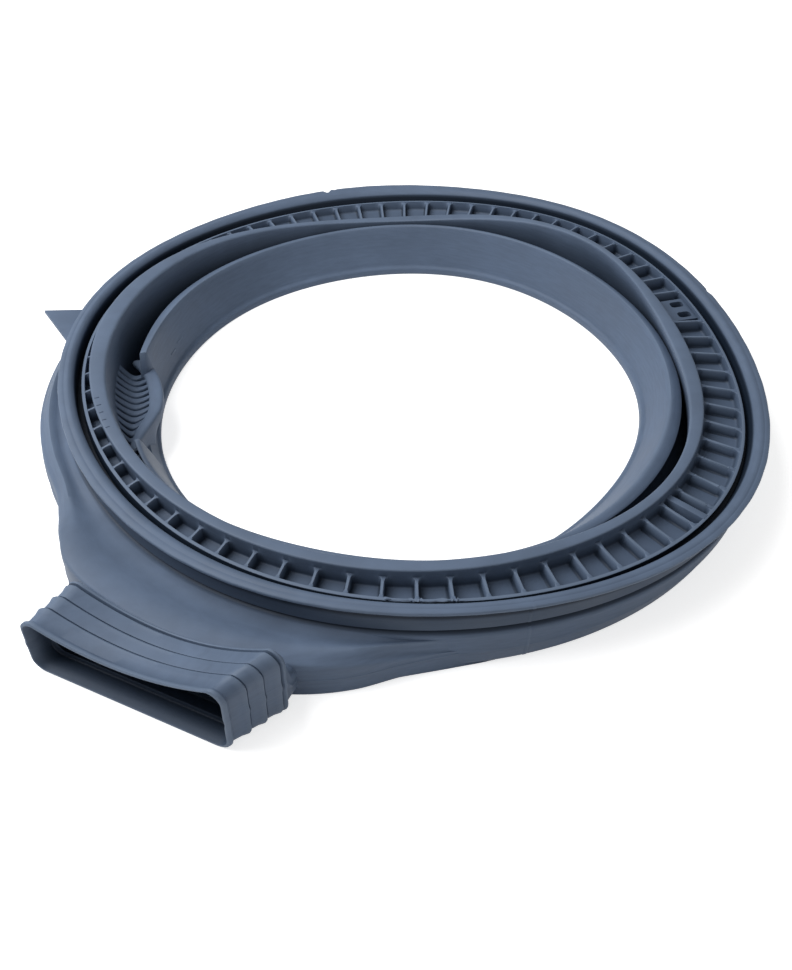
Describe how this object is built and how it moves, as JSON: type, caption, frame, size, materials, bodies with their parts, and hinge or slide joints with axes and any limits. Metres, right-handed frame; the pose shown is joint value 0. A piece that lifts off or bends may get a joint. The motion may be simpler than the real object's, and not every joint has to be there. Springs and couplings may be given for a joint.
{
  "type": "washing machine door seal",
  "caption": "Moulded rubber door seal: a ring with a ribbed channel and inner sleeve, an air grille inside and a flat bellows duct at its side.",
  "frame": {"origin": "middle of the box round the seal, on the plane that it rests on", "axes": "+Z is the ring's axis, from the tub side up to the door side; -Y is the side with the duct; the pointer tab is at -X"},
  "size_m": [0.415, 0.4508, 0.0495],
  "materials": {
    "grey_rubber": "matt moulded"
  },
  "bodies": {
    "root": {"door_seal": "grey_rubber"}
  },
  "joints": []
}
